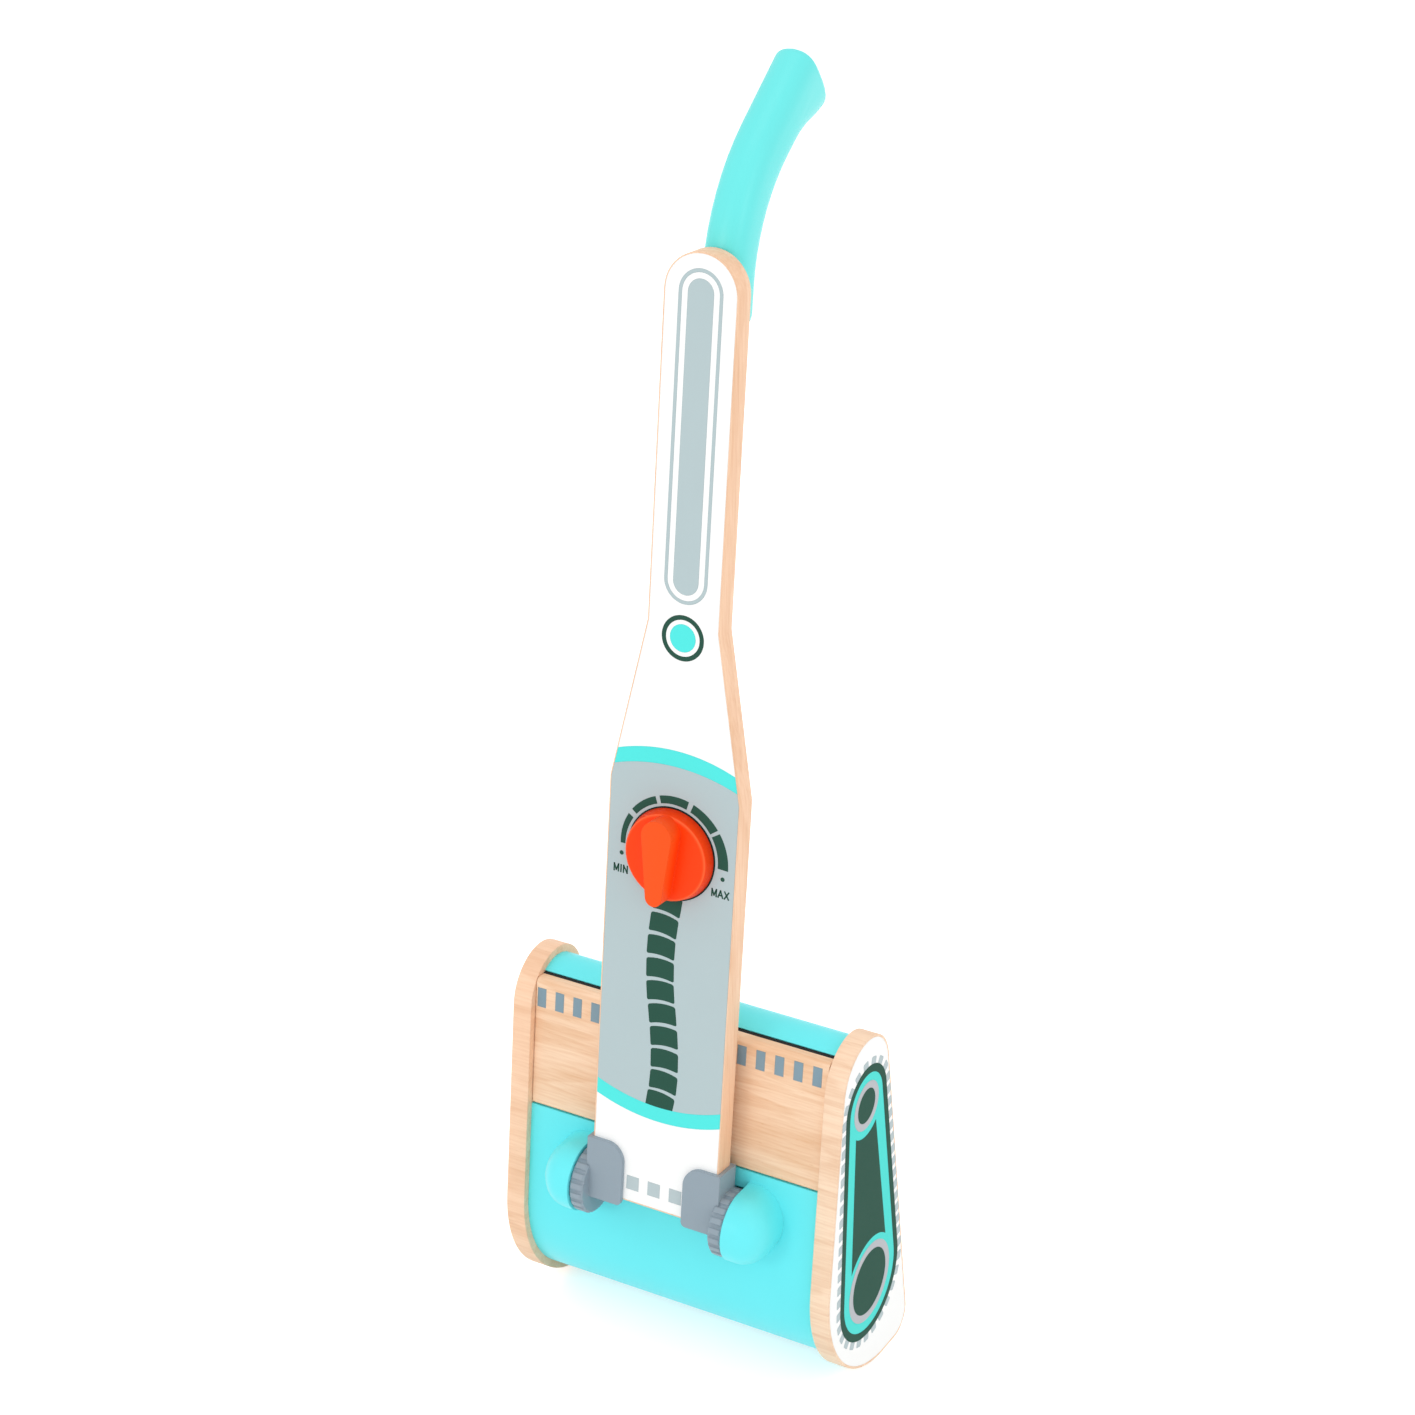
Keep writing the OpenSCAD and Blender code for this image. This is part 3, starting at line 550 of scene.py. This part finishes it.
def softened(node_name, body, round_off=0.0, reshape=None, smooth=SMOOTH_ANGLE):
    """A copy of a CAD node, shown in its place: points moved by reshape, edges rounded, curves smooth."""
    mesh = NODES[node_name].data.copy()
    mesh.name = node_name + "_soft"
    work = bmesh.new()
    work.from_mesh(mesh)
    bmesh.ops.remove_doubles(work, verts=work.verts, dist=MERGE * MM)
    bmesh.ops.dissolve_limit(work, angle_limit=math.radians(FLAT_ANGLE), verts=work.verts, edges=work.edges)
    if reshape:
        for v in work.verts:
            v.co = reshape(v.co / MM) * MM
    if round_off:
        sharp = [e for e in work.edges
                 if len(e.link_faces) == 2 and e.calc_face_angle() > math.radians(SHARP_ANGLE)]
        bmesh.ops.bevel(work, geom=sharp, offset=round_off * MM, offset_type="OFFSET", segments=4,
                        profile=0.5, affect="EDGES", clamp_overlap=True)
    work.normal_update()
    # The edge attribute holds the mask for the dial's painted edge highlight
    edge = work.verts.layers.float.new("edge")
    for v in work.verts:
        v[edge] = edge_highlight_mask(v.normal)
    work.to_mesh(mesh)
    work.free()
    if mesh.has_custom_normals:
        mesh.attributes.remove(mesh.attributes["custom_normal"])
    for face in mesh.polygons:
        face.use_smooth = True
    mesh.set_sharp_from_angle(angle=math.radians(smooth))
    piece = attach(add_object(node_name + "_soft", mesh), body)
    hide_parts(node_name)


def sunk_face(p):
    """A plate's outer face, a little inside the head's width."""
    x = math.copysign(min(abs(p.x), HEAD_W / 2 - FACE_SINK), p.x)
    return Vector((x, p.y, p.z))


def narrower_lap(p):
    """A bracket's lap on the stick's faces, drawn in towards the stick's edge."""
    inside = max(STICK_W / 2 - abs(p.x), 0.0)
    return p + Vector((math.copysign(LAP_SHARE * inside, p.x), 0.0, 0.0))


def shorter_pod(p):
    """A pod's outer surface, drawn in towards the hinge's disc; the hole for the pin keeps its depth."""
    beyond = abs(p.x) - POD_X
    off_axis = math.hypot(p.y + MIDDLE_Y, p.z - HINGE_Z)
    if not 0.0 < beyond < POD_L or (off_axis < PIN_ROOM and beyond < PIN_DEEP):
        return p
    return Vector((math.copysign(POD_X + POD_SHARE * beyond, p.x), p.y, p.z))


for plate in ("left_end_plate", "right_end_plate"):
    softened(plate, "head", PLATE_ROUND, sunk_face)
softened("lower_shell", "head", reshape=shorter_pod, smooth=SHELL_SMOOTH_ANGLE)
softened("stick_board", "stick", BOARD_ROUND)
for bracket in ("bracket_left", "bracket_right"):
    softened(bracket, "stick", BRACKET_ROUND, narrower_lap)
softened("dial_knob", "dial", DIAL_ROUND)
softened("grip", "stick")

# White face and prints of the stick. An arc across it is given by the heights of its ends and its middle,
# a pill by its two ends' heights and its radius
INSET = 0.6
HALF = STICK_W / 2 - INSET
TOP_HALF = STICK_TOP_W / 2 - INSET
DIAL_HOLE = 17.0
FIELD_FOOT = (53.0, 47.0)
FIELD_TOP = (208.5, 213.7)
TOP_BAND = ((205.4, 210.5), (212.7, 217.7))
FOOT_BAND = ((49.0, 43.4), (56.3, 50.4))
PILL = (286.7, 419.9, 6.0)
PILL_RING = ((282.7, 424.0, 10.2), (284.3, 422.4, 8.6))
BUTTON_W = 267.9
BUTTON_R = 6.1
BUTTON_RING = (10.0, 7.95)


def stick_half(w):
    """Half width of the painted face at a height on the stick."""
    if w <= TAPER_LOW:
        return HALF
    if w >= TAPER_TOP:
        return TOP_HALF
    return HALF + (TOP_HALF - HALF) * (w - TAPER_LOW) / (TAPER_TOP - TAPER_LOW)


def sweep(ends_w, middle_w, steps=32):
    """A shallow arc across the stick's face, from edge to edge."""
    half = stick_half(ends_w)
    rise = middle_w - ends_w
    r = (half * half + rise * rise) / (2 * abs(rise))
    line = []
    for i in range(steps + 1):
        u = -half + 2 * half * i / steps
        line.append((u, middle_w - math.copysign(r - math.sqrt(r * r - u * u), rise)))
    return line


def round_dial(outline):
    """A hole under the dial, for its stem: one point on each line from the dial's middle to the outline."""
    hole = []
    for u, w in outline:
        share = DIAL_HOLE / math.hypot(u, w - DIAL_W)
        hole.append((u * share, DIAL_W + (w - DIAL_W) * share))
    return hole


face = [(-HALF, INSET), (HALF, INSET), (HALF, TAPER_LOW), (TOP_HALF, TAPER_TOP)]
face += arc(0, STICK_H - STICK_TOP_W / 2, TOP_HALF, 0, 180, 48)
face += [(-TOP_HALF, TAPER_TOP), (-HALF, TAPER_LOW)]
ringed("stick_paint", [(face, round_dial(face))], on_stick, LAYER, WHITE_PAINT, "stick")
field = sweep(*FIELD_FOOT) + [(HALF, TAPER_LOW)] + sweep(*FIELD_TOP)[::-1] + [(-HALF, TAPER_LOW)]
ringed("stick_field", [(field, round_dial(field))], on_stick, 2 * LAYER, FIELD_INK, "stick")
bands = [sweep(*low) + sweep(*high)[::-1] for low, high in (TOP_BAND, FOOT_BAND)]
filled("stick_bands", bands, on_stick, 3 * LAYER, AQUA_INK, "stick")
filled("stick_pill", [pill(*PILL)], on_stick, 2 * LAYER, FIELD_INK, "stick")
ringed("stick_pill_ring", [[pill(*ends) for ends in PILL_RING]], on_stick, 2 * LAYER, FIELD_INK, "stick")
ringed("stick_button_ring", [[circle(0.0, BUTTON_W, r) for r in BUTTON_RING]],
       on_stick, 2 * LAYER, GREEN_INK, "stick")
filled("stick_button", [circle(0.0, BUTTON_W, BUTTON_R)], on_stick, 2 * LAYER, AQUA_INK, "stick")

# Dial scale: five segments, by their angles, that grow thicker to the right, two dots and two words
SCALE = ((182.4, 148.2), (142.0, 110.6), (106.0, 74.3), (69.2, 36.7), (33.2, -2.6))
SCALE_R = 22.5
SCALE_THIN = 2.3
SCALE_GROWTH = 2.7
DOTS = ((-24.1, 165.3), (25.1, 165.5))
DOT_R = 1.0
# Radii of the dark ring round the dial's foot, a painted contact shadow
DIAL_SHADOW_RADII = (21.25, 18.0)


def scale_segment(a0, a1, steps=12):
    """One segment between two angles, thicker the farther it lies from the scale's start."""
    first, last = SCALE[0][0], SCALE[-1][1]
    outer, inner = [], []
    for i in range(steps + 1):
        angle = a0 + (a1 - a0) * i / steps
        thick = SCALE_THIN + SCALE_GROWTH * (first - angle) / (first - last)
        away = Vector((math.cos(math.radians(angle)), math.sin(math.radians(angle))))
        middle = Vector((0.0, DIAL_W))
        outer.append(middle + away * (SCALE_R + thick))
        inner.append(middle + away * SCALE_R)
    return outer + inner[::-1]


scale = [scale_segment(*angles) for angles in SCALE] + [circle(*dot, DOT_R, 24) for dot in DOTS]
filled("dial_scale", scale, on_stick, 3 * LAYER, GREEN_INK, "stick")
# Dark ring round the dial's foot: painted shadow under the knob
ringed("dial_seat", [[circle(0.0, DIAL_W, r) for r in DIAL_SHADOW_RADII]], on_stick, 5 * LAYER, SHADOW_INK, "stick")

# Plain letters: width, and strokes in shares of the width and the height
LETTERS = {
    "M": (2.1, [((0, 0), (0, 1)), ((0, 1), (0.5, 0.15)), ((0.5, 0.15), (1, 1)), ((1, 1), (1, 0))]),
    "I": (0.7, [((0.5, 0), (0.5, 1))]),
    "N": (1.8, [((0, 0), (0, 1)), ((0, 1), (1, 0)), ((1, 0), (1, 1))]),
    "A": (2.2, [((0, 0), (0.5, 1)), ((0.5, 1), (1, 0)), ((0.2, 0.32), (0.8, 0.32))]),
    "X": (1.9, [((0, 0), (1, 1)), ((0, 1), (1, 0))]),
}
STROKE = 0.7
LETTER_H = 3.1
LETTER_GAP = 0.9
MIN_PLACE = (-24.2, 158.0)
MAX_PLACE = (24.4, 158.6)


def lettering(name, word, u, w):
    """A printed word, centred on a place of the stick's face."""
    left = u - (sum(LETTERS[c][0] for c in word) + LETTER_GAP * (len(word) - 1)) / 2
    strokes = []
    for c in word:
        width, lines = LETTERS[c]
        for (x0, y0), (x1, y1) in lines:
            a = Vector((left + x0 * width, w + (y0 - 0.5) * LETTER_H))
            b = Vector((left + x1 * width, w + (y1 - 0.5) * LETTER_H))
            along = (b - a).normalized() * STROKE / 2
            across = Vector((-along.y, along.x))
            strokes.append([a - along - across, b + along - across, b + along + across, a - along + across])
        left += width + LETTER_GAP
    filled(name, strokes, on_stick, 3 * LAYER, GREEN_INK, "stick")


lettering("word_min", "MIN", *MIN_PLACE)
lettering("word_max", "MAX", *MAX_PLACE)

# Hose: ten ribs that follow a gentle S, each with rounded corners and arched ends
HOSE = [(-0.6, 147.3), (-1.9, 136.9), (-2.6, 126.4), (-2.5, 115.8), (-1.8, 105.4),
        (-0.3, 94.9), (1.1, 84.3), (1.9, 73.6), (1.9, 63.0), (0.8, 52.6)]
RIB_HALF = (6.8, 4.45)
RIB_BOW = 0.9
RIB_CORNER = 0.9
BOW_STEPS = 10


def rib(index):
    """Outline of one rib, turned to follow its neighbours."""
    u, w = HOSE[index]
    above = HOSE[max(index - 1, 0)]
    below = HOSE[min(index + 1, len(HOSE) - 1)]
    lean = math.atan2(above[0] - below[0], above[1] - below[1])
    line = []
    for side, end, a1 in ((1, 1, 90), (-1, 1, 180), (-1, -1, 270), (1, -1, 360)):
        x0, y0 = side * RIB_HALF[0], end * RIB_HALF[1]
        line += arc(x0 - side * RIB_CORNER, y0 - end * RIB_CORNER, RIB_CORNER, a1 - 90, a1, 4)
        if side == end:
            line += [(x0 * (1 - 2 * i / BOW_STEPS), y0) for i in range(2, BOW_STEPS - 1)]
    shaped = [(x, y + RIB_BOW * (1 - (x / RIB_HALF[0]) ** 2)) for x, y in line]
    return [(u + x * math.cos(lean) + y * math.sin(lean), w - x * math.sin(lean) + y * math.cos(lean))
            for x, y in shaped]


ribs = [rib(i) for i in range(len(HOSE))]
filled("hose_ribs", ribs[:-1], on_stick, 4 * LAYER, GREEN_INK, "stick")
band_ends, band_middle = FOOT_BAND[1]
hose_foot = [(u, max(w, band_middle + (band_ends - band_middle) * (u / HALF) ** 2)) for u, w in ribs[-1]]
filled("hose_foot", [hose_foot], on_stick, 4 * LAYER, GREEN_INK, "stick")

# Three pale marks at the stick's foot
FOOT_MARK_HALF = (3.1, 3.4)
FOOT_MARK_T = 0.1
FOOT_MARK_W = 9.5
FOOT_MARKS = (-10.7, 0.0, 10.8)
mark = [(x, -2 * LAYER, z) for x, z in oblong(*FOOT_MARK_HALF)]
repeated("foot_marks", *slab(mark, (0.0, FOOT_MARK_T, 0.0)),
         [(on_stick(u, FOOT_MARK_W, 0.0), (-LEAN, 0.0, 0.0)) for u in FOOT_MARKS], PALE_INK, "stick")

# Front panel: flat up to its top, where a small round leads to a ledge in front of the slot's dark lip.
# Points behind the ledge's back edge are given by their distances above and behind that edge
FRONT_A = rim_angle(TOP_C, TOP_R, NOSE_C, NOSE_R, 1)
BACK_A = rim_angle(TOP_C, TOP_R, HEEL_C, HEEL_R, -1)
OUT = (math.cos(math.radians(FRONT_A)), math.sin(math.radians(FRONT_A)))
JOINT_LINE = 0.3
LEDGE = 13.8
LEDGE_DEEP = 5.75
CORNER_R = 2.6
CORNER_STEPS = 8
PANEL_BACK = ((0.0, 0.0), (-2.0, 0.9), (-5.0, PANEL_T - LEDGE_DEEP))
LIP = ((-0.25, -0.05), (0.45, 1.5), (-1.2, 2.1), (-2.0, 0.8))


def on_panel(up, deep):
    """(y, z) at a distance up the panel's flat front, from beside the top arc's centre, and behind it."""
    off = TOP_R - SETBACK - deep
    return (TOP_C[0] + off * OUT[0] + up * OUT[1], TOP_C[1] + off * OUT[1] - up * OUT[0])


def by_ledge(up, deep):
    return on_panel(LEDGE + up, LEDGE_DEEP + deep)


def panel_foot(deep):
    """The panel's lower edge: level, at that depth behind its front."""
    up = (PANEL_LOW + JOINT_LINE - on_panel(0, deep)[1]) / -OUT[0]
    return on_panel(up, deep)


def bar(name, line, node_name, material, body):
    """A straight bar with that side outline, as long as a CAD node."""
    low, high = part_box(node_name)
    verts, faces = slab([(low.x / MM, y, z) for y, z in line], ((high.x - low.x) / MM, 0.0, 0.0))
    return new_piece(name, verts, faces, material, body)


corner = arc(LEDGE - CORNER_R, CORNER_R, CORNER_R, -90, 0, CORNER_STEPS)
panel_line = [panel_foot(0.0)] + [on_panel(*p) for p in corner]
panel_line += [by_ledge(*p) for p in PANEL_BACK] + [panel_foot(PANEL_T)]
panel = bar("front_panel_flat", panel_line, "front_panel", PANEL_WOOD, "head")
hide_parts("front_panel")
bar("slot_lip", [by_ledge(*p) for p in LIP], "slot_seal", SEAL, "head")

# Row of sixteen marks on the panel, printed a little out of level
MARK_HALF = (2.2, 4.65)
MARK_RISE = 0.05
MARK_FIRST = -70.3
MARK_STEP = 9.22
MARK_COUNT = 16
MARK_UP = 5.57
MARK_SLOPE = 0.0107
upwards = Vector((0.0, OUT[1], -OUT[0]))
inwards = Vector((0.0, -OUT[0], -OUT[1]))
patch = [(x, *on_panel(up, -MARK_RISE)) for x, up in oblong(*MARK_HALF)]
row = [MARK_FIRST + MARK_STEP * i for i in range(MARK_COUNT)]
repeated("panel_marks", *slab(patch, inwards * 2 * MARK_RISE),
         [((Vector((x, 0, 0)) + upwards * (MARK_UP + MARK_SLOPE * x)) * MM, (0.0, 0.0, 0.0)) for x in row],
         SLATE_INK, "head")

# White end faces with the belt drive; a pair of radii is for the upper and the lower pulley
PAINT_MARGIN = 1.25
UPPER = (35.06 - MIDDLE_Y, 145.6)
LOWER = (42.06 - MIDDLE_Y, 48.8)
BELT_OUTER = (19.2, 28.2)
BELT_INNER = (15.4, 24.4)
AQUA_R = (15.5, 24.5)
RING_OUTER = (11.6, 19.6)
RING_INNER = (8.2, 15.9)
DISC_R = (8.4, 16.1)
BRIDGE_UPPER = (15.5, 232, 308)
BRIDGE_LOWER = (22.6, 48, 142)
TEETH = 49
TOOTH = ((-2.3, 0.0), (2.3, 0.0), (2.6, 2.9), (2.0, 3.5), (-1.4, 3.5), (-2.0, 2.9))
TOOTH_RISE = 0.06
PAINT_RISE = 0.03
AQUA_RISE = 0.05
BELT_RISE = 0.07
DISC_RISE = 0.09
RING_RISE = 0.11


def head_outline(margin):
    return (arc(*TOP_C, TOP_R - margin, BACK_A, FRONT_A, 40)
            + arc(*NOSE_C, NOSE_R - margin, FRONT_A, 270, 40)
            + arc(*HEEL_C, HEEL_R - margin, 270, 360 + BACK_A, 20))


def round_pulleys(radii, steps=40):
    return belt_line(UPPER, radii[0], LOWER, radii[1], steps)


def pulleys(radii):
    return [circle(*centre, r) for centre, r in zip((UPPER, LOWER), radii)]


def belt_place(line, share):
    """Point and direction at a share of a closed outline's length."""
    lengths = [math.dist(line[i], line[(i + 1) % len(line)]) for i in range(len(line))]
    left = share * sum(lengths)
    for i, length in enumerate(lengths):
        if left <= length:
            a, b = Vector(line[i]), Vector(line[(i + 1) % len(line)])
            return a + (b - a) * (left / length), (b - a) / length
        left -= length


def belt_teeth(label, place):
    """Teeth at equal steps round the belt, each standing on its outer edge."""
    outline = round_pulleys(BELT_OUTER, 90)
    places = []
    for i in range(TEETH):
        (y, z), (along_y, along_z) = belt_place(outline, i / TEETH)
        along = Vector((0, along_y, along_z))
        outward = Vector((0, along_z, -along_y))
        turn = Matrix((along, outward, along.cross(outward))).transposed()
        places.append((place(y, z, 0.0), turn.to_euler()))
    tooth = slab([(x, y, -TOOTH_RISE) for x, y in TOOTH], (0.0, 0.0, 2 * TOOTH_RISE))
    repeated(label + "_belt_teeth", *tooth, places, PALE_INK, "head")


def end_face(label, place):
    """Paint, belt, pulleys and teeth of one end face."""
    filled(label + "_plate_paint", [head_outline(PAINT_MARGIN)], place, PAINT_RISE, WHITE_PAINT, "head")
    # The aqua field takes the darker aqua ink: painted shade on the end faces
    filled(label + "_belt_field", [round_pulleys(AQUA_R)], place, AQUA_RISE, SHADED_AQUA_INK, "head")
    belt = (round_pulleys(BELT_OUTER), round_pulleys(BELT_INNER))
    ringed(label + "_belt", [belt], place, BELT_RISE, GREEN_INK, "head")
    bridge = arc(*UPPER, *BRIDGE_UPPER, 16) + arc(*LOWER, *BRIDGE_LOWER, 20)
    filled(label + "_belt_bridge", [bridge], place, DISC_RISE, GREEN_INK, "head")
    rings = list(zip(pulleys(RING_OUTER), pulleys(RING_INNER)))
    ringed(label + "_pulley_rings", rings, place, RING_RISE, RING_INK, "head")
    filled(label + "_pulley_discs", pulleys(DISC_R), place, DISC_RISE, GREEN_INK, "head")
    belt_teeth(label, place)


end_face("right", on_right)
end_face("left", on_left)

# Floor, light and camera: white for the camera, with the object's shadow kept on the floor
SKY = 0.92
FLOOR_LIFT = 0.5
FLOOR_HALF = 9.0
LAMP_AIM = (0.0, 0.0, 0.25)
CAMERA_PLACE = (635.794, -1090.624 - MIDDLE_Y, 962.494)
CAMERA_DOWN = 26.504
CAMERA_TURN = 29.303
CAMERA_LENS = 87.405
CAMERA_SENSOR = 36.0


def seen_mask(tree):
    """1 for rays that the camera sees directly, in a gloss or through glass, 0 for the others."""
    path = tree.nodes.new("ShaderNodeLightPath")
    direct = math_node(tree, "MAXIMUM", path.outputs["Is Camera Ray"], path.outputs["Is Glossy Ray"])
    return math_node(tree, "MAXIMUM", direct, path.outputs["Is Transmission Ray"])


def add_floor():
    mesh = bpy.data.meshes.new("floor")
    mesh.from_pydata([(x, y, 0.0) for x, y in oblong(FLOOR_HALF, FLOOR_HALF)], [], [[0, 1, 2, 3]])
    white = moulded("floor_white", (252, 252, 252), 0.9, gloss=0.0, shade=0.004, bump=0.0)
    tree = white.node_tree
    surface = next(n for n in tree.nodes if n.type == "BSDF_PRINCIPLED")
    surface.inputs["Emission Color"].default_value = (1.0, 1.0, 1.0, 1.0)
    feed(tree, surface.inputs["Emission Strength"],
         math_node(tree, "MULTIPLY", seen_mask(tree), FLOOR_LIFT))
    mesh.materials.append(white)
    add_object("floor", mesh)


def add_sky():
    """A plain sky that lights the object a little less than the white that the camera sees."""
    world = bpy.data.worlds.new("light_tent")
    bpy.context.scene.world = world
    world.use_nodes = True
    tree = world.node_tree
    backdrop = tree.nodes["Background"]
    backdrop.inputs["Color"].default_value = (1.0, 1.0, 1.0, 1.0)
    shown = math_node(tree, "MULTIPLY", seen_mask(tree), 1.0 - SKY)
    feed(tree, backdrop.inputs["Strength"], math_node(tree, "ADD", shown, SKY))


def area_light(name, place, size, power):
    light = bpy.data.lights.new(name, "AREA")
    light.size = size
    light.energy = power
    lamp = add_object(name, light)
    lamp.location = place
    lamp.rotation_mode = "QUATERNION"
    lamp.rotation_quaternion = (Vector(LAMP_AIM) - Vector(place)).to_track_quat("-Z", "Y")


def add_camera():
    data = bpy.data.cameras.new("camera")
    data.lens = CAMERA_LENS
    data.sensor_width = CAMERA_SENSOR
    camera = add_object("camera", data)
    camera.location = Vector(CAMERA_PLACE) * MM
    camera.rotation_euler = (math.radians(90 - CAMERA_DOWN), 0.0, math.radians(CAMERA_TURN))
    bpy.context.scene.camera = camera


add_floor()
add_sky()
area_light("key", (-0.66, -2.16, 1.07), size=0.5, power=4.5)
area_light("overhead", (0.0, -0.3, 2.4), size=1.0, power=2.5)
area_light("fill", (1.8, -0.6, 1.2), size=0.8, power=2.8)
add_camera()
bpy.context.scene.view_settings.view_transform = "Standard"
